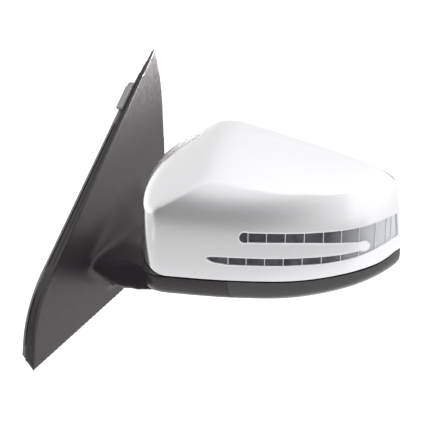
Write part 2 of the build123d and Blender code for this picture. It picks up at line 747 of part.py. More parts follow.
def foot_cover_lower():
    return foot_walls() & foot_bottom_zone(0.1)


def sail_gasket():
    """Foam ring against the door, with a groove round its door side."""
    ring = sail_body(0.6, 0, GASKET_T) - (sail_body(7, -1, GASKET_T + 1) & block(-5, 20, -150, 150, -120, 88))
    groove = sail_body(2.6, 0, 0.8) - (sail_body(4.6, -1, 1) & block(-5, 20, -150, 150, -120, 92))
    ring = ring - (groove & block(-5, 20, -150, 150, -120, 94))
    ring = ring - rod_x(GROMMET_R + GASKET_ROOM, -5, 5, *GROMMET_AT)
    for y, z in PEGS:
        ring = ring - rod_x(PEG_R + GASKET_ROOM, -5, 5, y, z)
    return ring


def base_bracket():
    """Die-cast plate on the door side with the arm that carries the fold post."""
    plate = sail_prism(9, 3.2, 6.6) & block(-10, 20, -118, 115, -90, 108)
    rim = sail_prism(9, 2, 10) - sail_prism(11.5, 0, 12)
    plate = plate + (rim & block(3.2, 7, -118, 115, -90, 96))
    arm_plan = [(5, -10), (52, -20), (90, -42), (118, -52), (128, -18), (84, 2), (44, 28), (5, 46)]
    arm = prism_z(arm_plan, -30, -23)
    arm = arm + rod_z(19, POST_AT.X, POST_AT.Y, -30, -22)
    rib = prism_z([(5, 2), (60, -22), (112, -38), (112, -34), (60, -18), (5, 8)], -36, -29)
    plate = plate + arm + rib - rod_z(3.5, POST_AT.X, POST_AT.Y, -60, 0)
    for turn in STUD_TURNS:
        y, z = STUD_CIRCLE_R * cos(radians(turn)), STUD_CIRCLE_R * sin(radians(turn))
        plate = plate + rod_x(9, 0, 5, y, z)
    plate = plate - rod_x(11, 0, 20, *GROMMET_AT)
    for y, z in COVER_BOSSES:
        plate = plate - rod_x(1.7, 0, 12, y, z)
    return plate - leaning_away(SAIL_WALL + 2)


def mounting_studs():
    studs = []
    for turn in STUD_TURNS:
        y, z = STUD_CIRCLE_R * cos(radians(turn)), STUD_CIRCLE_R * sin(radians(turn))
        studs.append(rod_x(STUD_R, -STUD_REACH, 0, y, z))
    return Compound(children=studs)


def bracket_screws():
    """Tapping screws that hold the cover to the bracket."""
    screws = [rod_x(3, 1.6, 3.2, y, z) + rod_x(1.25, 2, 8.6, y, z) for y, z in COVER_BOSSES]
    return Compound(children=screws)


def locating_pegs():
    return Compound(children=[rod_x(PEG_R, -9, 3.2, y, z) for y, z in PEGS])


def cable_grommet():
    y, z = GROMMET_AT
    body = rod_x(11, 3.2, 6.6, y, z) + rod_x(GROMMET_R, 1.2, 3.2, y, z) + rod_x(9.5, -7, 1.2, y, z)
    return body - rod_x(GROMMET_BORE_R, -10, 20, y, z)


def sail_clip():
    """Small pad on the sail's front edge that locates it against the window frame."""
    (low_y, low_z), (high_y, high_z) = SAIL_FRONT_LOW, SAIL_FRONT_HIGH
    share = 0.76
    at = (CLIP_X, low_y + share * (high_y - low_y), low_z + share * (high_z - low_z))
    slope = degrees(atan2(high_z - low_z, high_y - low_y))
    pad = Box(6, 34, 1.8, align=(Align.MIN, Align.CENTER, Align.MIN))
    pad = pad + Pos(0, -3, 0) * Box(6, 28, 3.4, align=(Align.MIN, Align.CENTER, Align.MIN))
    return Pos(at) * Rot(slope, 0, 0) * pad


# ---------------------------------------------------------------- everything, node by node
FIXED = {
    "sail_cover": sail_cover,
    "foot_cover_lower": foot_cover_lower,
    "sail_gasket": sail_gasket,
    "sail_clip": sail_clip,
    "base_bracket": base_bracket,
    "mounting_studs": mounting_studs,
    "bracket_screws": bracket_screws,
    "locating_pegs": locating_pegs,
    "cable_grommet": cable_grommet,
}
ON_HEAD_FRAME = {
    "front_cap": front_cap,
    "lower_cover": lower_cover,
    "rear_bezel": rear_bezel,
    "indicator_lens": indicator_lens,
    "indicator_housing": indicator_housing,
    "indicator_board": indicator_board,
    "indicator_leds": indicator_leds,
    "fold_gearbox_housing": fold_gearbox_housing,
    "detent_cam": detent_cam,
    "fold_motor": fold_motor,
    "fold_pinion": fold_pinion,
    "mirror_frame": mirror_frame,
    "frame_screws": frame_screws,
    "bezel_screws": bezel_screws,
    "adjuster_housing": adjuster_housing,
    "adjuster_cover": adjuster_cover,
    "adjuster_screws": adjuster_screws,
    "adjuster_motors": adjuster_motors,
    "gimbal_ring": gimbal_ring,
    "mirror_glass": mirror_glass,
    "heater_pad": heater_pad,
    "glass_backing": glass_backing,
    "pivot_post": pivot_post,
    "detent_ring": detent_ring,
    "fold_ring_gear": fold_ring_gear,
    "thrust_washer": thrust_washer,
    "pivot_spring": pivot_spring,
    "spring_seat": spring_seat,
    "post_retaining_clip": post_retaining_clip,
    "pivot_seal": pivot_seal,
}


def main():
    os.makedirs("parts", exist_ok=True)
    for name, make in FIXED.items():
        save(name, make())
    for name, make in ON_HEAD_FRAME.items():
        save(name, make(), HEAD)
    x, z = ADJUSTER
    for name, dx, dz in (("pitch", 0, SCREW_REACH), ("yaw", SCREW_REACH, 0)):
        place = HEAD * Pos(x + dx, 0, z + dz)
        save(f"jackscrew_{name}", jackscrew(), place)
        save(f"nut_gear_{name}", nut_gear(), place)


if __name__ == "__main__":
    main()
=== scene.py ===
import json
from math import atan2, cos, pi, radians, sin

import bmesh
import bpy
import numpy as np
from mathutils import Matrix, Vector
from mathutils.geometry import delaunay_2d_cdt


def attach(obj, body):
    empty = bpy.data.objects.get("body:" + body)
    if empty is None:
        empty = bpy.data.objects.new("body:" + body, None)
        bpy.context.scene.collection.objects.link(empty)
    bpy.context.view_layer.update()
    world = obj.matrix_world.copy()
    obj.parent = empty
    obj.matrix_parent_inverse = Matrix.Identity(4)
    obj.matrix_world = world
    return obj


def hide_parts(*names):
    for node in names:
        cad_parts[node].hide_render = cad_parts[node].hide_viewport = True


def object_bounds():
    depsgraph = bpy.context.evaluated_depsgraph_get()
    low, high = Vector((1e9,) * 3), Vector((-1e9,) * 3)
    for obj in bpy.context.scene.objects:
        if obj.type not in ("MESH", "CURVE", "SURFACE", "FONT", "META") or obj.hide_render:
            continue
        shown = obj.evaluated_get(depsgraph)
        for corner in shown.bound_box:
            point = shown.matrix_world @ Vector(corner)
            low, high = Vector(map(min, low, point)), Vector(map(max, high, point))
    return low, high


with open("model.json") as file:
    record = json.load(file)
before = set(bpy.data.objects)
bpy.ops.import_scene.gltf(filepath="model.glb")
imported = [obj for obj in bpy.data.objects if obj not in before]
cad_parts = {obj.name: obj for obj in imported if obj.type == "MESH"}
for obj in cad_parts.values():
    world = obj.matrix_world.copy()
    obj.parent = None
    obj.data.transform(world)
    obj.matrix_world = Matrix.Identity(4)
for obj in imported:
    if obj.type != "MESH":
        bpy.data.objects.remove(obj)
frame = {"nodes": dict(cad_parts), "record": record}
cad_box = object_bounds()
scene = bpy.context.scene
scene.view_settings.view_transform = "Standard"

# The head's form is worked out in millimetres in the head's own frame: x outward from its inner
# wall, y rearward from its rim, z up.  HEAD carries it into the row frame.
MM = 0.001
HEAD_AT = (0.068, -0.008, -0.032)
HEAD_SWEEP = radians(12)
HEAD = Matrix.Translation(HEAD_AT) @ Matrix.Rotation(HEAD_SWEEP, 4, "Z")
HUB = np.array((100.0, 14.0, 50.0))
WIDEN = 1.7
RIM_HUB_Z = 55.0
HEAD_W, HEAD_D = 242, 74
FRONT_FLAT_X, FRONT_BEND, INNER_BEND = 62, 0.0018, 0.0006
FRONT_CROWN_Z, FRONT_CROWN = 26, 0.0016
TOP_PEAK_X, TOP_PEAK_Z = 81.5, 148
OUTER_FALL, INNER_FALL, PEAK_SOFTNESS = 0.285, 0.64, 12
TOP_LEAN, TOP_CROWN, TOP_SLOPE = 0.21, 0.0052, 1.25
INNER_CROWN_Z, INNER_CROWN = 50, 0.0009
OUTER_CROWN_Z, OUTER_CROWN = 40, 0.0012
BOTTOM_Z, BOTTOM_RISE_X, BOTTOM_RISE = -9, 120, 0.0018
R_FRONT, R_TOP, R_INNER, R_OUTER, R_BOTTOM = 45, 8, 28, 54, 14
LEAST_RADIUS = 4
REACH = 280.0
ROUNDING_POWER = 2.4
WALL = 2.5

# The parting line of cap and lower cover, and the step of the roof's rear edge.
PARTING_Z, CAP_GAP = 14.5, 0.3
PARTING_RISE_X, PARTING_RISE = 130, 0.0016
PARTING_TIP_X, PARTING_TIP = 215, 0.0142
PARTING_INNER_X, PARTING_INNER = 33, 0.0245
CREASE_RISE, CREASE_HALF_WIDTH = 0.7, 1.6
CREASE_Y, CREASE_SLANT, CREASE_BEND_X = -9.3, 0.095, 168
CREASE_START_X, CREASE_END_X, CREASE_START_Z = (60, 95), (205, 228), (80, 95)

# The lens: heights of its two prongs over head x, the white strip of painted highlight along its rim, and
# its fins.
FORK_TOP = (107, 165, 200, 222, 250), (58.9, 59.1, 61.9, 66.6, 75)
FORK_BOTTOM = (90, 150, 178, 201, 226, 250), (28.4, 28.7, 30.5, 34.9, 44.8, 57.5)
FORK_UP_BOTTOM = (107, 155, 186, 203), (49.3, 49.1, 48.2, 47.9)
FORK_LOW_TOP = (82, 155, 186, 203), (36.5, 36.7, 38.6, 41.1)
FORK_LOW_TIP = (90, 28.4), (76, 30.4), (70.3, 34), (73.5, 36.1), (82, 36.5)
FORK_UP_TIP, FORK_CROTCH = (99.3, 54.1), (210.2, 44.9)
LENS_END_Y = -3.0
LENS_EDGE = 0.55
RIB_INSET, RIB_PITCH = 0.9, 16.0
UPPER_RIB_X, UPPER_RIB_COUNT, UPPER_LAST_RIBS = 107.6, 5, (186.6, 201)
LOWER_RIB_X, LOWER_RIB_COUNT, LOWER_LAST_RIBS = 90.4, 7, (201,)
TIP_RIBS = (214.3, 222.6, 226.6, 231.2)
INNER_LENS_INSET = 2.3

# Section of the bezel: how far in from the rim, and y.
BEZEL_PROFILE = (
    (0.4, 0.25), (0.5, 2.6), (0.9, 5.4), (1.8, 8.0), (3.2, 10.0), (5.0, 10.9), (6.6, 10.6), (7.8, 9.6),
    (8.4, 8.0), (8.8, 4.0), (9.2, -4.0), (9.8, -10.0), (10.6, -15.0), (12.0, -18.0), (15.0, -19.6),
    (34.0, -20.4), (34.0, -22.2), (14.0, -21.8), (9.9, -19.0), (8.7, -13.0), (7.8, -5.0), (7.2, 2.0),
    (6.4, 6.6), (5.0, 8.3), (3.4, 7.6), (2.7, 5.0), (2.6, 0.25),
)

# The fixed side, in millimetres of the row frame: the sail's outer face and front edge, the thickening
# of its tip, the crest of the foot and the web above it.
SAIL_X, SAIL_TILT = 11.7, 0.0185
SAIL_BOW = (-134.5, -82), (-129.8, -63.5), (-119, -42.5), (-93.5, -14.5)
SAIL_FRONT = (-93.5, -14.5), (97.2, 164.8)
SAIL_INWARD = (0.685, -0.729)
TIP_FROM_Z, TIP_TO_Z, TIP_EXTRA = 120, 160, 1.5
CREST_X, CREST_Y, CREST_Z, CREST_END_Y = 12.5, -41, -29.4, 60
CREST_OUT, CREST_UP, CREST_TOP = 0.385, 0.384, 66
WEB_FOOT_X, WEB_SLOPE, WEB_END_Y = 11.9, 0.9, (60, 90)

# The moulding's grid, in metres, and where the smoothing of its neck fades in or out: outward, at the
# front, at the back, below, above, and with the distance from the sail's front edge.
FOOT_VOXEL = 0.0013
FOOT_SOFTENING, SOFTEST = 72, 0.5
SOFT_OUT, SOFT_FRONT, SOFT_BACK = (54, 70), (-74, -56), (92, 104)
SOFT_LOW, SOFT_HIGH, SOFT_EDGE = (-66, -58), (45, 60), (7, 15)

# Near-black beads along the sail's front edge, painted shade in the seams between its layers.
BEAD_R, BEAD_FLATNESS, BEAD_SIDES = 0.55, 0.9, 10
GASKET_LIP_X, GASKET_LIP_TOP = 3.1, 100
FACE_LIP_X, FACE_LIP_TOP = 8.4, 150

# The grey band in front: which way it lies, between which cosines it fades in, the sine of its top's
# elevation, and how much higher it reaches towards the left.
BAND_AHEAD = (sin(radians(-3)), -cos(radians(-3)))
BAND_ENDS = (0.35, 0.985)
BAND_TOP = 0.13
BAND_LEFT_RISE = 0.7

# Brightness of the band, of the sky as pairs of a direction's x and the light there, and of the window.
BAND_LIGHT = 0.22
SKY_LIGHT = (-0.7, 1.0), (0.6, 1.4)
WINDOW_LIGHT = 0.5

# The floor's half width, and how far it lies below the object, in metres.
FLOOR_SIZE, FLOOR_DROP = 9.0, 0.16


# ---------------------------------------------------------------- camera, light, floor
def make_camera():
    """Long lens, looking a little down on the outer front corner."""
    target = Vector((0.1503, -0.048, 0.0398))
    azimuth, elevation, distance = radians(27), radians(14), 1.0
    level = cos(elevation)
    back = Vector((sin(azimuth) * level, -cos(azimuth) * level, sin(elevation)))
    data = bpy.data.cameras.new("camera")
    data.sensor_width = 36
    data.lens = 94.87
    camera = bpy.data.objects.new("camera", data)
    camera.location = target + back * distance
    camera.rotation_euler = back.to_track_quat("Z", "Y").to_euler()
    scene.collection.objects.link(camera)
    scene.camera = camera


def make_world():
    """White studio ceiling and sides, a grey band along the horizon in front, a window on the left."""
    world = bpy.data.worlds.new("studio")
    scene.world = world
    world.use_nodes = True
    g = Graph(world.node_tree)
    direction = g.node("ShaderNodeTexCoord").outputs["Generated"]
    split = g.node("ShaderNodeSeparateXYZ", {0: direction})
    leftward = g.math("MINIMUM", g.math("ADD", split.outputs["X"], 0.1), 0.0)
    height = g.math("ADD", split.outputs["Z"], g.math("MULTIPLY", leftward, BAND_LEFT_RISE))
    above = g.ramp(height, [(BAND_TOP - 0.02, 0), (BAND_TOP + 0.05, 1)])
    aside = g.ramp(g.ahead(split), [(BAND_ENDS[0], 1), (BAND_ENDS[1], 0)])
    light = g.math("MAXIMUM", above, aside)
    window = g.ramp(split.outputs["X"], [(-0.9, WINDOW_LIGHT), (-0.5, 0)])
    window = g.math("MULTIPLY", window, g.ramp(split.outputs["Z"], [(0.2, 1), (0.45, 0)]))
    sky = g.ramp(split.outputs["X"], SKY_LIGHT)
    light = g.math("MULTIPLY", light, g.math("SUBTRACT", sky, BAND_LIGHT))
    strength = g.math("ADD", g.math("ADD", light, BAND_LIGHT), window)
    background = g.node("ShaderNodeBackground", {"Color": (1, 1, 1, 1), "Strength": strength})
    g.link(background.outputs[0], g.node("ShaderNodeOutputWorld").inputs[0])


def make_floor():
    """Pale studio floor, a shade darker in front of the object."""
    corners = [(x * FLOOR_SIZE, y * FLOOR_SIZE, 0) for x, y in ((-1, -1), (1, -1), (1, 1), (-1, 1))]
    floor = mesh_object("floor", corners, [(0, 1, 2, 3)])
    floor.location.z = cad_box[0][2] - FLOOR_DROP
    material, g, shader = new_material("floor_card")
    place = g.node("ShaderNodeSeparateXYZ", {0: g.node("ShaderNodeNewGeometry").outputs["Position"]})
    tone = g.ramp(g.ahead(place), [(0.25, 0.9), (0.9, 0.56)])
    g.link(g.grey(tone), shader.inputs["Base Color"])
    g.link(g.grey(tone), shader.inputs["Emission Color"])
    shader.inputs["Emission Strength"].default_value = 0.1
    shader.inputs["Roughness"].default_value = 0.9
    shader.inputs["Specular IOR Level"].default_value = 0.1
    floor.data.materials.append(material)


def area_lamp(name, size, energy, location):
    """Rectangular lamp, facing down."""
    data = bpy.data.lights.new(name, "AREA")
    data.shape, data.size, data.size_y = "RECTANGLE", *size
    data.energy = energy
    lamp = bpy.data.objects.new(name, data)
    lamp.location = location
    scene.collection.objects.link(lamp)
    return lamp


def make_lights():
    """Broad soft light from above, and a narrow one from behind that grazes the upper part of the sail."""
    ceiling = area_lamp("ceiling", (1.6, 1.2), 9, (0.2, 0.1, 1.5))
    ceiling.visible_glossy = False
    back_panel = area_lamp("back_panel", (0.5, 0.3), 6, (0.6, 1.0, 0.5))
    back_panel.data.spread = radians(13)
    aim = back_panel.location - Vector((0, 0.08, 0.32))
    back_panel.rotation_euler = aim.to_track_quat("Z", "Y").to_euler()


# ---------------------------------------------------------------- shader graphs
class Graph:
    """Short calls for making and joining shader nodes."""

    def __init__(self, tree):
        self.tree = tree
        tree.nodes.clear()

    def node(self, kind, inputs=None, **settings):
        made = self.tree.nodes.new(kind)
        for key, value in settings.items():
            setattr(made, key, value)
        for key, value in (inputs or {}).items():
            self.put(value, made.inputs[key])
        return made

    def link(self, source, target):
        self.tree.links.new(source, target)

    def put(self, value, socket):
        if isinstance(value, bpy.types.NodeSocket):
            self.link(value, socket)
        else:
            socket.default_value = value

    def math(self, operation, a, b):
        return self.node("ShaderNodeMath", {0: a, 1: b}, operation=operation).outputs[0]

    def ramp(self, value, ends):
        """Change of value between the two (from, to) ends, eased at both and level past them."""
        (low, at_low), (high, at_high) = ends
        inputs = {"Value": value, "From Min": low, "From Max": high, "To Min": at_low, "To Max": at_high}
        return self.node("ShaderNodeMapRange", inputs, interpolation_type="SMOOTHSTEP").outputs[0]

    def ahead(self, split):
        """How far a separated place or direction lies towards the grey band."""
        across = self.math("MULTIPLY", split.outputs["X"], BAND_AHEAD[0])
        return self.math("ADD", across, self.math("MULTIPLY", split.outputs["Y"], BAND_AHEAD[1]))

    def grey(self, value):
        return self.node("ShaderNodeCombineColor", {0: value, 1: value, 2: value}).outputs[0]

    def place(self):
        """Object coordinates, in metres."""
        return self.node("ShaderNodeTexCoord").outputs["Object"]

    def noise(self, scale, detail):
        inputs = {"Vector": self.place(), "Scale": scale, "Detail": detail}
        return self.node("ShaderNodeTexNoise", inputs).outputs["Fac"]

    def bump(self, height, strength, distance):
        inputs = {"Strength": strength, "Distance": distance, "Height": height}
        return self.node("ShaderNodeBump", inputs).outputs[0]

    def tint(self, factor, dark, light):
        mixer = self.node("ShaderNodeMix", {0: factor, 6: (*dark, 1), 7: (*light, 1)}, data_type="RGBA")
        return mixer.outputs[2]


def new_material(name):
    material = bpy.data.materials.new(name)
    material.use_nodes = True
    g = Graph(material.node_tree)
    shader = g.node("ShaderNodeBsdfPrincipled")
    g.link(shader.outputs[0], g.node("ShaderNodeOutputMaterial").inputs[0])
    return material, g, shader


def smoked_plastic():
    """Dark at the inner end of the lens and silvery towards the tip."""
    material, g, shader = new_material("smoked_lens")
    x = g.node("ShaderNodeSeparateXYZ", {0: g.place()}).outputs["X"]
    share = g.ramp(x, [(0.245, 0), (0.30, 0.92)])
    share = g.math("ADD", share, g.ramp(g.noise(70, 2), [(0.3, 0), (0.7, 0.06)]))
    g.link(g.tint(share, (0.022, 0.021, 0.024), (0.88, 0.88, 0.9)), shader.inputs["Base Color"])
    g.link(g.ramp(g.noise(300, 2), [(0.3, 0.16), (0.7, 0.24)]), shader.inputs["Roughness"])
    return material


def shaded(colour, factor):
    return tuple(min(1, c * factor) for c in colour)


def textured(name, colour, rough, grain=900, grain_depth=0.00003, variation=0.08, metal=0.0, **sockets):
    """Base for moulded and metal surfaces: uneven tone, uneven gloss and a fine grain."""
    material, g, shader = new_material(name)
    patches = g.noise(40, 3)
    dark, light = shaded(colour, 1 - variation), shaded(colour, 1 + variation)
    g.link(g.tint(patches, dark, light), shader.inputs["Base Color"])
    gloss = g.ramp(g.noise(180, 3), [(0.3, rough * 0.9), (0.7, rough * 1.1)])
    g.link(gloss, shader.inputs["Roughness"])
    g.link(g.bump(g.noise(grain, 3), 0.35, grain_depth), shader.inputs["Normal"])
    shader.inputs["Metallic"].default_value = metal
    for key, value in sockets.items():
        shader.inputs[key.replace("_", " ")].default_value = value
    return material


def silver_paint():
    """Metallic base with tiny flakes under a clear coat."""
    material, g, shader = new_material("silver_paint")
    cells = g.node("ShaderNodeTexVoronoi", {"Vector": g.place(), "Scale": 5200.0})
    channels = g.node("ShaderNodeSeparateColor", {0: cells.outputs["Color"]}).outputs
    flakes = g.ramp(channels[0], [(0, 0), (1, 1)])
    g.link(g.tint(flakes, (0.71, 0.705, 0.72), (0.76, 0.755, 0.77)), shader.inputs["Base Color"])
    g.link(g.ramp(flakes, [(0, 0.17), (1, 0.23)]), shader.inputs["Roughness"])
    g.link(g.bump(g.noise(500, 2), 0.04, 0.00002), shader.inputs["Normal"])
    shader.inputs["Metallic"].default_value = 0.95
    shader.inputs["Coat Weight"].default_value = 0.5
    shader.inputs["Coat Roughness"].default_value = 0.05
    return material


def clear_plastic(name, colour, rough):
    material, g, shader = new_material(name)
    g.link(g.tint(g.noise(60, 2), shaded(colour, 0.97), shaded(colour, 1.03)), shader.inputs["Base Color"])
    g.link(g.ramp(g.noise(200, 2), [(0.3, rough), (0.7, rough * 1.6)]), shader.inputs["Roughness"])
    shader.inputs["Transmission Weight"].default_value = 1.0
    shader.inputs["IOR"].default_value = 1.2
    return material


# ---------------------------------------------------------------- the head's form
def soft_min(a, b, soft):
    return 0.5 * (a + b - np.sqrt((a - b) ** 2 + soft * soft))


def outside(points, inset):
    """Below zero inside the head's rounded form, moved inward by inset."""
    x, y, z = points.T
    past = np.maximum(0, x - FRONT_FLAT_X)
    front_y = -HEAD_D + FRONT_BEND * past**2 + INNER_BEND * np.minimum(0, x - FRONT_FLAT_X) ** 2
    front_y = front_y + FRONT_CROWN * (z - FRONT_CROWN_Z) ** 2
    front = (front_y - y) / np.sqrt(1 + (2 * FRONT_BEND * past) ** 2)
    outer_fall = TOP_PEAK_Z - OUTER_FALL * (x - TOP_PEAK_X)
    inner_fall = TOP_PEAK_Z + PEAK_SOFTNESS + INNER_FALL * (x - TOP_PEAK_X)
    ridge = soft_min(outer_fall, inner_fall, PEAK_SOFTNESS)
    top = (z - (ridge + TOP_LEAN * y - TOP_CROWN * y * y)) / TOP_SLOPE
    inner = INNER_CROWN * (z - INNER_CROWN_Z) ** 2 - x
    outer = x - HEAD_W + OUTER_CROWN * (z - OUTER_CROWN_Z) ** 2
    bottom = BOTTOM_Z + BOTTOM_RISE * np.maximum(0, x - BOTTOM_RISE_X) ** 2 - z
    total = -1.0
    sides = (front, R_FRONT), (top, R_TOP), (inner, R_INNER), (outer, R_OUTER), (bottom, R_BOTTOM)
    for gap, radius in sides:
        left = max(radius - inset, min(radius, LEAST_RADIUS))
        total = total + np.maximum(0, 1 + (gap + inset) / left) ** ROUNDING_POWER
    return total


def march(make_point, inset, count):
    """Where make_point(distance) leaves the form, for count rays at once, by halving."""
    near, far = np.zeros(count), np.full(count, REACH)
    for _ in range(34):
        middle = (near + far) / 2
        inside = outside(make_point(middle), inset) < 0
        near = np.where(inside, middle, near)
        far = np.where(inside, far, middle)
    return make_point(near)


def on_form(uv, inset):
    """Points of the form over a flat map centred straight ahead of the hub."""
    lean, turn = np.hypot(*uv.T), np.arctan2(uv[:, 1], uv[:, 0])
    way = np.stack((WIDEN * np.sin(lean) * np.cos(turn), -np.cos(lean), np.sin(lean) * np.sin(turn)), 1)
    return march(lambda far: HUB + way * far[:, None], inset, len(uv))


def to_map(points):
    """The places that on_form carries to these points."""
    x, y, z = (points - HUB).T
    lean, turn = np.arctan2(np.hypot(x / WIDEN, z), -y), np.arctan2(z, x / WIDEN)
    return np.stack((lean * np.cos(turn), lean * np.sin(turn)), 1)


def unit(vectors):
    return vectors / np.maximum(np.linalg.norm(vectors, axis=1), 1e-12)[:, None]


def slope_of(field, points):
    """Gradient of a field over head space."""
    step = 0.05
    columns = [field(points + step * axis) - field(points - step * axis) for axis in np.eye(3)]
    return np.stack(columns, 1) / (2 * step)


def normals_at(points, inset):
    return unit(slope_of(lambda p: outside(p, inset), points))


def smooth(low, high, value):
    t = np.clip((value - low) / (high - low), 0, 1)
    return t * t * (3 - 2 * t)


def curve_through(knots, values, at):
    """Smooth curve through a few values, evaluated at the places in at."""
    knots, values = np.array(knots, float), np.array(values, float)
    slopes = np.gradient(values, knots)
    i = np.clip(np.searchsorted(knots, at) - 1, 0, len(knots) - 2)
    span = knots[i + 1] - knots[i]
    t = (at - knots[i]) / span
    start = (1 + 2 * t) * (1 - t) ** 2 * values[i] + t * (1 - t) ** 2 * span * slopes[i]
    return start + t * t * (3 - 2 * t) * values[i + 1] + t * t * (t - 1) * span * slopes[i + 1]


# ---------------------------------------------------------------- meshes
# About how many millimetres of the form one unit of the flat map spans, across and up.
MAP_SCALE = (150, 92)


def mesh_object(name, points, faces, normals=None, material=None):
    mesh = bpy.data.meshes.new(name)
    mesh.from_pydata([tuple(p) for p in points], [], [tuple(f) for f in faces])
    mesh.validate()
    mesh.polygons.foreach_set("use_smooth", [True] * len(mesh.polygons))
    if normals is not None and len(mesh.vertices) == len(points):
        mesh.normals_split_custom_set_from_vertices([tuple(n) for n in normals])
    if material:
        mesh.materials.append(material)
    made = bpy.data.objects.new(name, mesh)
    scene.collection.objects.link(made)
    return made


def recalculate_outward(piece):
    b = bmesh.new()
    b.from_mesh(piece.data)
    bmesh.ops.recalc_face_normals(b, faces=b.faces)
    b.to_mesh(piece.data)
    b.free()


def in_row_frame(points):
    turn = np.array(HEAD.to_3x3())
    return points * MM @ turn.T + np.array(HEAD_AT)


def turned(normals):
    return normals @ np.array(HEAD.to_3x3()).T


def inside_loop(points, loop):
    """Whether each flat point is inside a closed loop."""
    x, y = points.T
    x0, y0 = loop.T
    x1, y1 = np.roll(loop, -1, 0).T
    crosses = (y0[None] > y[:, None]) != (y1[None] > y[:, None])
    with np.errstate(divide="ignore", invalid="ignore"):
        at = (x1 - x0) * (y[:, None] - y0) / (y1 - y0) + x0
    return (np.sum(crosses & (x[:, None] < at), 1) % 2) == 1


def even(loop, step):
    """Closed loop with its points spaced evenly, step apart."""
    closed = np.vstack((loop, loop[:1]))
    along = np.concatenate(([0], np.cumsum(np.linalg.norm(np.diff(closed, axis=0), axis=1))))
    places = np.linspace(0, along[-1], max(8, int(along[-1] / step)), endpoint=False)
    return np.stack([np.interp(places, along, column) for column in closed.T], 1)


def between(flat, loops):
    """Whether each flat point is inside the outer loop and outside its holes."""
    keep = inside_loop(flat, loops[0])
    for hole in loops[1:]:
        keep &= ~inside_loop(flat, hole)
    return keep


def fill(loops, step):
    """Triangles over a flat map between an outer loop and its holes, with a grid of points inside."""
    border = np.vstack(loops)
    low, high = loops[0].min(0), loops[0].max(0)
    across, up = np.meshgrid(*(np.arange(low[k], high[k], step / MAP_SCALE[k]) for k in (0, 1)))
    grid = np.stack((across.ravel(), up.ravel()), 1)
    grid = grid[between(grid, loops)]
    scaled, edge = grid * MAP_SCALE, border * MAP_SCALE
    batches = [scaled[k:k + 400, None] for k in range(0, len(grid), 400)]
    clear = np.concatenate([np.min(np.sum((batch - edge[None]) ** 2, 2), 1) for batch in batches])
    grid = grid[clear > (0.62 * step) ** 2]
    edges, start = [], 0
    for loop in loops:
        n = len(loop)
        edges += [(start + k, start + (k + 1) % n) for k in range(n)]
        start += n
    points = np.vstack((border, grid))
    made = delaunay_2d_cdt([Vector(p) for p in points], edges, [], 0, 1e-9)
    out = np.array([tuple(p) for p in made[0]])
    faces = np.array([f for f in made[2] if len(f) == 3])
    assert len(out) == len(points)
    return points, faces[between(out[faces].mean(1), loops)]


def panel(name, loops, material, inset=0.0, thickness=WALL, step=2.0, lip=0.6, relief=None):
    """Shell lying on the form between an outer loop and its holes, with rounded lips.

    Material lies to the left of every loop, seen from outside."""
    rings = 4
    sides = [inward(loop, inset) for loop in loops]
    set_back = [to_map(on_form(to_map(loop + side * lip), inset)) for loop, side in zip(loops, sides)]
    flat, faces = fill(set_back, step)
    skin = on_form(flat, inset)
    normal = normals_at(skin, inset)
    if relief:
        rise = relief(skin)
        grade = slope_of(relief, skin)
        grade -= np.sum(grade * normal, 1)[:, None] * normal
        skin = skin + normal * rise[:, None]
        normal = unit(normal - grade)
    n = len(skin)
    points, directions = [skin, skin - normal * thickness], [normal, -normal]
    quads = [tuple(f) for f in faces] + [tuple(f[::-1] + n) for f in faces]
    start, first = 2 * n, 0
    for side in sides:
        count = len(side)
        own = np.arange(first, first + count)
        edge, up = skin[own], normal[own]
        last = own
        for k in range(1, rings + 1):
            a = pi / 2 * k / rings
            points.append(edge - side * lip * sin(a) - up * lip * (1 - cos(a)))
            directions.append(up * cos(a) - side * sin(a))
            row = np.arange(start, start + count)
            quads += strip(last, row)
            last, start = row, start + count
        points.append(edge - side * lip - up * (thickness - 0.2))
        directions.append(-side)
        row = np.arange(start, start + count)
        quads += strip(last, row) + strip(row, own + n)
        start += count
        first += count
    placed, facing = in_row_frame(np.vstack(points)), turned(np.vstack(directions))
    return mesh_object(name, placed, quads, facing, material)


def inward(loop, inset):
    """Direction to the left of a loop on the form, at each of its points."""
    tangent = unit(np.roll(loop, -1, 0) - np.roll(loop, 1, 0))
    return unit(np.cross(normals_at(loop, inset), tangent))


def strip(upper, lower):
    """Quads between two closed rows of vertices."""
    nxt_u, nxt_l = np.roll(upper, -1), np.roll(lower, -1)
    return [tuple(int(i) for i in q) for q in zip(nxt_u, upper, lower, nxt_l)]


def tube_faces(rows, count):
    """Quads of a closed tube made of closed rows, each of count vertices, the last joined to the first."""
    own = np.arange(count)
    return [q for k in range(rows) for q in strip(own + (k + 1) % rows * count, own + k * count)]


# ---------------------------------------------------------------- outlines on the head
def parting_z(x):
    """Height of the parting line, which rises to the tip and, a little, to the inner wall."""
    rise = PARTING_RISE * np.maximum(0, x - PARTING_RISE_X) ** 2
    rise = rise + PARTING_TIP * np.maximum(0, x - PARTING_TIP_X) ** 2
    return PARTING_Z + rise + PARTING_INNER * np.maximum(0, PARTING_INNER_X - x) ** 2


def along_sheet(height, turns, inset=0.0):
    """Curve where the form meets the sheet z = height(x), at plan angles from +x over the front."""
    def point(far):
        x = HUB[0] + WIDEN * far * np.cos(turns)
        return np.stack((x, HUB[1] - far * np.sin(turns), height(x)), 1)
    return march(point, inset, len(turns))


def straight_back(xz, inset):
    """Points of the form's front over head x and z."""
    xz = np.asarray(xz, float)
    return march(lambda far: np.stack((xz[:, 0], HUB[1] - far, xz[:, 1]), 1), inset, len(xz))


def rim_curve(y, turns, inset=0.0):
    """Curve round the form at depth y."""
    way = np.stack((WIDEN * np.cos(turns), np.zeros_like(turns), np.sin(turns)), 1)
    return march(lambda far: np.array((HUB[0], y, RIM_HUB_Z)) + way * far[:, None], inset, len(turns))


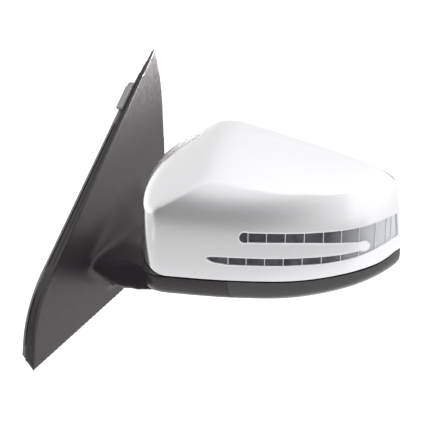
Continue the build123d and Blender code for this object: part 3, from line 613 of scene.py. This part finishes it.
def trimmed(curve, y):
    """The part of a sheet curve that lies ahead of the plane at y."""
    return curve[curve[:, 1] < y]


def cap_outline():
    """Parting line over the front, then back along the rim over the top."""
    turns = np.linspace(pi - 0.12, 0.09, 400)
    low = trimmed(along_sheet(parting_z, turns), -CAP_GAP)
    rim = rim_curve(0.0, np.linspace(-0.6, pi + 0.8, 700))
    rim = rim[rim[:, 2] > parting_z(rim[:, 0]) + CAP_GAP]
    return even(np.vstack((low, rim)), 1.9)


def arc_through(a, b, c, count):
    """Points of the circle through three flat points, from a by b to c."""
    a, b, c = (np.array(p, float) for p in (a, b, c))
    d = 2 * (a[0] * (b[1] - c[1]) + b[0] * (c[1] - a[1]) + c[0] * (a[1] - b[1]))
    ux = (a @ a * (b[1] - c[1]) + b @ b * (c[1] - a[1]) + c @ c * (a[1] - b[1])) / d
    uy = (a @ a * (c[0] - b[0]) + b @ b * (a[0] - c[0]) + c @ c * (b[0] - a[0])) / d
    middle = np.array((ux, uy))
    radius = np.linalg.norm(a - middle)
    turns = np.unwrap([atan2(*(p - middle)[::-1]) for p in (a, b, c)])
    t = np.interp(np.linspace(0, 2, count), (0, 1, 2), turns)
    return middle + radius * np.stack((np.cos(t), np.sin(t)), 1)


def long_edge(curve, inset):
    """Edge of the lens over the front and round the tip, at the heights of curve."""
    first, last = curve[0][0], curve[0][-1]
    turns = np.linspace(pi / 2 + 0.3, 0.02, 700)
    points = along_sheet(lambda x: curve_through(*curve, np.clip(x, first, last)), turns, inset)
    points = trimmed(points, LENS_END_Y)
    return points[points[:, 0] > first]


def slot_edge(curve):
    """Edge of one prong along the slot between the two, from its tip to the crotch, over x and z."""
    x = np.linspace(curve[0][0], curve[0][-1], 90)
    return np.stack((x, curve_through(*curve, x)), 1)


def fork_outline(inset=0.0):
    """Outline of the two-pronged lens on the form, material of the lens to its left."""
    upper, lower = slot_edge(FORK_UP_BOTTOM), slot_edge(FORK_LOW_TOP)
    up_tip = arc_through((FORK_TOP[0][0], FORK_TOP[1][0]), FORK_UP_TIP, upper[0], 20)
    crotch = arc_through(upper[-1], FORK_CROTCH, lower[-1], 20)
    steps = np.linspace(0, 4, 40)
    low_tip = np.stack([curve_through(range(5), [p[k] for p in FORK_LOW_TIP], steps) for k in (0, 1)], 1)
    over_front = [up_tip, upper, crotch, lower[::-1], low_tip[::-1]]
    parts = [long_edge(FORK_BOTTOM, inset), long_edge(FORK_TOP, inset)[::-1]]
    parts += [straight_back(part, inset) for part in over_front]
    return even(np.vstack(parts), 1.3)


def moved_aside(loop, amount, inset):
    """Loop on the form moved to its left by amount, without the loops that tight turns would leave."""
    moved = on_form(to_map(loop + inward(loop, inset) * amount), inset)
    gap = np.min(np.linalg.norm(moved[:, None] - loop[None], axis=2), 1)
    return even(moved[gap > 0.97 * amount], 1.3)


# ---------------------------------------------------------------- pieces of the head
def crease_relief(p):
    """Low step of the roof's rear edge, which starts softly at the peak and fades towards the tip."""
    x, y, z = p.T
    line_y = CREASE_Y - CREASE_SLANT * np.maximum(0, CREASE_BEND_X - x)
    strength = smooth(*CREASE_START_X, x) * (1 - smooth(*CREASE_END_X, x)) * smooth(*CREASE_START_Z, z)
    return CREASE_RISE * strength * smooth(-CREASE_HALF_WIDTH, CREASE_HALF_WIDTH, y - line_y)


def make_cap(paint):
    hole = fork_outline()[::-1]
    cap = panel("cap_shell", [cap_outline(), hole], paint, relief=crease_relief)
    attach(cap, "mirror_head")
    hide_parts("front_cap")


def make_lens(clear):
    inset = 0.15
    loop = moved_aside(fork_outline(inset), 0.1 + LENS_EDGE, inset)
    lens = panel("lens_shell", [loop], clear, inset, thickness=0.7, step=2.4, lip=0.2)
    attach(lens, "mirror_head")
    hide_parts("indicator_lens")


def ribs_between(places, low, high):
    """Thin upright fins behind the lens at head x places, from height low(x) to high(x)."""
    half, depth, end_gap, steps = 0.3, 1.2, 0.35, 7
    points, faces = [], []
    for x in places:
        heights = np.linspace(low(x) + end_gap, high(x) - end_gap, steps)
        front = straight_back(np.stack((np.full(steps, x), heights), 1), RIB_INSET)
        normal = normals_at(front, RIB_INSET)
        across = unit(np.cross(normal, np.array((0.0, 0.0, 1.0))))
        rows = [front - across * half, front + across * half]
        rows += [rows[1] - normal * depth, rows[0] - normal * depth]
        corners = [len(points) + a * steps for a in range(4)]
        points += [p for row in rows for p in row]
        for k in range(steps - 1):
            for a, b in zip(corners, corners[1:] + corners[:1]):
                faces.append([a + k, b + k, b + k + 1, a + k + 1])
        faces.append(corners[::-1])
        faces.append([a + steps - 1 for a in corners])
    return points, faces


def height_of(curve):
    """Height of one of the lens's edges as a function of head x, level before and after the edge."""
    first, last = curve[0][0], curve[0][-1]
    return lambda x: float(curve_through(*curve, np.array([min(max(x, first), last)], float))[0])


def make_ribs(white):
    top, bottom = height_of(FORK_TOP), height_of(FORK_BOTTOM)
    upper = [UPPER_RIB_X + RIB_PITCH * k for k in range(UPPER_RIB_COUNT)] + [*UPPER_LAST_RIBS]
    lower = [LOWER_RIB_X + RIB_PITCH * k for k in range(LOWER_RIB_COUNT)] + [*LOWER_LAST_RIBS]
    groups = [
        ribs_between(upper, height_of(FORK_UP_BOTTOM), top),
        ribs_between(lower, bottom, height_of(FORK_LOW_TOP)),
        ribs_between(TIP_RIBS, bottom, top),
    ]
    points, faces = [], []
    for some_points, some_faces in groups:
        faces += [[i + len(points) for i in face] for face in some_faces]
        points += some_points
    ribs = mesh_object("lens_ribs", in_row_frame(np.array(points)), faces, material=white)
    ribs.data.polygons.foreach_set("use_smooth", [False] * len(ribs.data.polygons))
    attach(ribs, "mirror_head")


def make_rim_highlight_strip(white):
    """White strip along the lens's rim: a painted highlight, a fine bright line standing in for the light
    caught at the cap's lip.
    """
    inset, lip, depth = 0.1, 0.08, 2.2
    loop = moved_aside(fork_outline(inset), 0.06, inset)
    up, side = normals_at(loop, inset), inward(loop, inset)
    profile = (0, 0.25, -side), (lip, 0, up), (LENS_EDGE - lip, 0, up), (LENS_EDGE, lip, side)
    profile += (LENS_EDGE, depth, side), (0, depth, -side)
    rows = [loop + side * across - up * down for across, down, _ in profile]
    faces = tube_faces(len(rows), len(loop))
    facing = turned(np.vstack([normal for _, _, normal in profile]))
    edge = mesh_object("lens_rim_painted_highlight", in_row_frame(np.vstack(rows)), faces, facing, white)
    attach(edge, "mirror_head")


def make_inner_lens(smoked):
    """Smoked inner lens between the ribs and the lamps."""
    loop = moved_aside(fork_outline(INNER_LENS_INSET), 0.2, INNER_LENS_INSET)
    inner = panel("inner_lens", [loop], smoked, INNER_LENS_INSET, thickness=1.2, step=2.4, lip=0.3)
    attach(inner, "mirror_head")


def rim_row(inset, y, turns):
    """Closed row at depth y, inset from the rim, off the cap's inner wall and above the parting line."""
    wanted = rim_curve(0.0, turns, inset)
    wanted[:, 1] = y
    if y < 0:
        limit = rim_curve(y, turns, WALL + 0.7)
        centre = np.array((HUB[0], y, RIM_HUB_Z))
        near = np.linalg.norm(wanted - centre, axis=1) < np.linalg.norm(limit - centre, axis=1)
        wanted = np.where(near[:, None], wanted, limit)
    floor_z = parting_z(wanted[:, 0]) + inset + CAP_GAP
    wanted[:, 2] = -soft_min(-wanted[:, 2], -floor_z, 3)
    return wanted


def make_bezel(black):
    turns = np.linspace(0, 2 * pi, 240, endpoint=False)
    rows = [rim_row(inset, y, turns) for inset, y in BEZEL_PROFILE]
    faces = tube_faces(len(rows), len(turns))
    bezel = mesh_object("bezel_ring", in_row_frame(np.vstack(rows)), faces, material=black)
    recalculate_outward(bezel)
    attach(bezel, "mirror_head")
    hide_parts("rear_bezel")


# ---------------------------------------------------------------- the fixed side
def joined_covers():
    """The sail's two shells in one mesh, the sail's tip thickened behind to suit the grid."""
    b = bmesh.new()
    for node in ("sail_cover", "foot_cover_lower"):
        mesh = frame["nodes"][node].data.copy()
        mesh.transform(frame["nodes"][node].matrix_world)
        b.from_mesh(mesh)
    for v in b.verts:
        height = v.co.z / MM
        behind_face = v.co.x / MM < SAIL_X - 0.1 - SAIL_TILT * height
        if behind_face:
            v.co.x -= TIP_EXTRA * MM * float(smooth(TIP_FROM_Z, TIP_TO_Z, height))
    whole = bpy.data.meshes.new("sail_moulding")
    b.to_mesh(whole)
    b.free()
    return whole


def on_even_grid(piece):
    """Replaces the piece's mesh by one of even small quads."""
    grid = piece.modifiers.new("grid", "REMESH")
    grid.mode, grid.voxel_size = "VOXEL", FOOT_VOXEL
    graph = bpy.context.evaluated_depsgraph_get()
    piece.data = bpy.data.meshes.new_from_object(piece.evaluated_get(graph))
    piece.modifiers.clear()


def web_hollow(x, y, z):
    """How far the web between crest and sail is sunk, so that it sweeps up like a cove."""
    along = np.clip(y, CREST_Y, CREST_END_Y) - CREST_Y
    crest_x, crest_z = CREST_X + CREST_OUT * along, CREST_Z + CREST_UP * np.minimum(CREST_TOP, along)
    share = np.clip((crest_x - x) / (crest_x - WEB_FOOT_X), 0, 1)
    hollow = WEB_SLOPE * (crest_x - WEB_FOOT_X) * share * (1 - share) * (1 - smooth(*WEB_END_Y, y))
    return hollow * smooth(crest_z - 6, crest_z - 1, z)


def neck_softness(x, y, z):
    """How strongly each point is smoothed: the neck and its root, clear of the sail's front edge."""
    from_edge = SAIL_INWARD[0] * (y - SAIL_FRONT[0][0]) + SAIL_INWARD[1] * (z - SAIL_FRONT[0][1])
    soft = (1 - smooth(*SOFT_OUT, x)) * smooth(*SOFT_FRONT, y) * (1 - smooth(*SOFT_BACK, y))
    soft = soft * smooth(*SOFT_LOW, z) * (1 - smooth(*SOFT_HIGH, z))
    return SOFTEST * soft * smooth(*SOFT_EDGE, from_edge)


def soften(points, ends, softness):
    """Draws each point towards the mean of its neighbours, again and again."""
    first, second = ends.T
    count = len(points)
    joined = np.bincount(ends.T.ravel(), minlength=count)
    for _ in range(FOOT_SOFTENING):
        total = np.stack([
            np.bincount(first, column[second], count) + np.bincount(second, column[first], count)
            for column in points.T
        ], 1)
        points = points + (total / joined[:, None] - points) * softness[:, None]
    return points


def make_moulded_foot(material):
    """Sail, neck and foot as one moulding, its neck blended softly into the sail."""
    foot = bpy.data.objects.new("sail_moulding", joined_covers())
    scene.collection.objects.link(foot)
    on_even_grid(foot)
    mesh = foot.data
    points = np.empty(3 * len(mesh.vertices))
    mesh.vertices.foreach_get("co", points)
    points = points.reshape(-1, 3)
    ends = np.empty(2 * len(mesh.edges), int)
    mesh.edges.foreach_get("vertices", ends)
    place = points.T / MM
    points[:, 2] -= MM * web_hollow(*place)
    points = soften(points, ends.reshape(-1, 2), neck_softness(*place))
    mesh.vertices.foreach_set("co", points.ravel())
    mesh.polygons.foreach_set("use_smooth", [True] * len(mesh.polygons))
    mesh.materials.clear()
    mesh.materials.append(material)
    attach(foot, "door_base")
    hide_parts("sail_cover", "foot_cover_lower")


def front_outline():
    """The sail's front edge over y and z, from its low corner by the bow to the tip."""
    steps = np.linspace(0, 3, 40)
    bow = np.stack([curve_through(range(4), [p[k] for p in SAIL_BOW], steps) for k in (0, 1)], 1)
    return np.vstack((bow[:-1], np.linspace(*SAIL_FRONT, 60)))


def edge_bead(name, x_at, top, material):
    """Slim near-black bead along the sail's front edge up to the height top, at x_at(z): painted shade of
    a seam.
    """
    line = front_outline()
    line = line[line[:, 1] < top]
    tangent = unit(np.gradient(line, axis=0))
    out = np.stack((-tangent[:, 1], tangent[:, 0]), 1)
    rows = []
    for turn in np.linspace(0, 2 * pi, BEAD_SIDES, endpoint=False):
        y, z = (line + out * (BEAD_R * BEAD_FLATNESS * sin(turn))).T
        rows.append(np.stack((x_at(line[:, 1]) + BEAD_R * cos(turn), y, z), 1))
    n = len(line)
    starts = [k * n for k in range(BEAD_SIDES)]
    faces = [
        (a + i, a + i + 1, b + i + 1, b + i)
        for a, b in zip(starts, starts[1:] + starts[:1]) for i in range(n - 1)
    ]
    faces += [tuple(starts), tuple(a + n - 1 for a in starts)]
    bead = mesh_object(name, np.vstack(rows) * MM, faces, material=material)
    recalculate_outward(bead)
    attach(bead, "door_base")


def make_edge_beads(material):
    """One bead over the gasket's joint with the cover, one by the cover's outer face, both painted seam
    shade.
    """
    edge_bead("gasket_seam_shade", lambda z: np.full_like(z, GASKET_LIP_X), GASKET_LIP_TOP, material)
    edge_bead("face_seam_shade", lambda z: FACE_LIP_X - SAIL_TILT * z, FACE_LIP_TOP, material)


# ---------------------------------------------------------------- everything
make_camera()
make_world()
make_floor()
make_lights()

paint = silver_paint()
moulded = textured("moulded_black", (0.019, 0.017, 0.019), 0.36, variation=0.04, Specular_IOR_Level=0.45,
                   Specular_Tint=(1, 0.93, 0.965, 1))
trim = textured("trim_black", (0.034, 0.033, 0.035), 0.34, variation=0.05)
rubber = textured("gasket_rubber", (0.12, 0.118, 0.12), 0.6)
clip_grey = textured("clip_grey", (0.2, 0.198, 0.2), 0.5)
# near-black colour of the beads along the sail's front edge: painted shade of its seams
painted_seam_shade = textured("painted_seam_shade", (0.008, 0.008, 0.009), 0.7)
clear = clear_plastic("clear_lens", (0.95, 0.96, 0.98), 0.03)
# white of the fins behind the lens, and painted highlight of the strip along the lens's rim
rim_highlight_and_rib_white = textured("lens_rim_painted_highlight", (0.86, 0.86, 0.88), 0.22, variation=0.02)
smoked = smoked_plastic()
lamp_dark = textured("lamp_housing", (0.09, 0.09, 0.095), 0.3)
steel = textured("steel", (0.6, 0.6, 0.6), 0.32, metal=1.0)
white_gear = textured("gear_white", (0.85, 0.83, 0.78), 0.45)
board = textured("circuit_board", (0.8, 0.8, 0.79), 0.4)
amber = textured("led_amber", (0.9, 0.5, 0.1), 0.2)
mirror = textured("mirror_silver", (0.9, 0.92, 0.93), 0.02, grain_depth=0.0, variation=0.01, metal=1.0)
casting = textured("die_cast", (0.55, 0.55, 0.56), 0.5, metal=0.9)

BY_SLOT = {
    "moulded_black": moulded, "silver_paint": paint, "trim_black": trim, "bezel_black": trim,
    "gasket_rubber": rubber, "clear_lens": clear, "lamp_housing": lamp_dark, "circuit_board": board,
    "led_amber": amber, "mirror_silver": mirror, "heater_film": moulded, "backing_plastic": moulded,
    "die_cast": casting, "frame_plastic": moulded, "gear_white": white_gear, "gear_steel": steel,
    "motor_can": steel, "zinc_steel": steel, "spring_steel": steel, "grommet_rubber": rubber,
    "peg_plastic": white_gear,
}


def paint_node(name, material):
    mesh = frame["nodes"][name].data
    mesh.materials.clear()
    mesh.materials.append(material)


for part in frame["record"]["subparts"]:
    paint_node(part["node"], BY_SLOT[part["material_slot"]])
paint_node("sail_clip", clip_grey)

make_cap(paint)
make_lens(clear)
make_rim_highlight_strip(rim_highlight_and_rib_white)
make_ribs(rim_highlight_and_rib_white)
make_inner_lens(smoked)
make_bezel(trim)
make_moulded_foot(moulded)
make_edge_beads(painted_seam_shade)
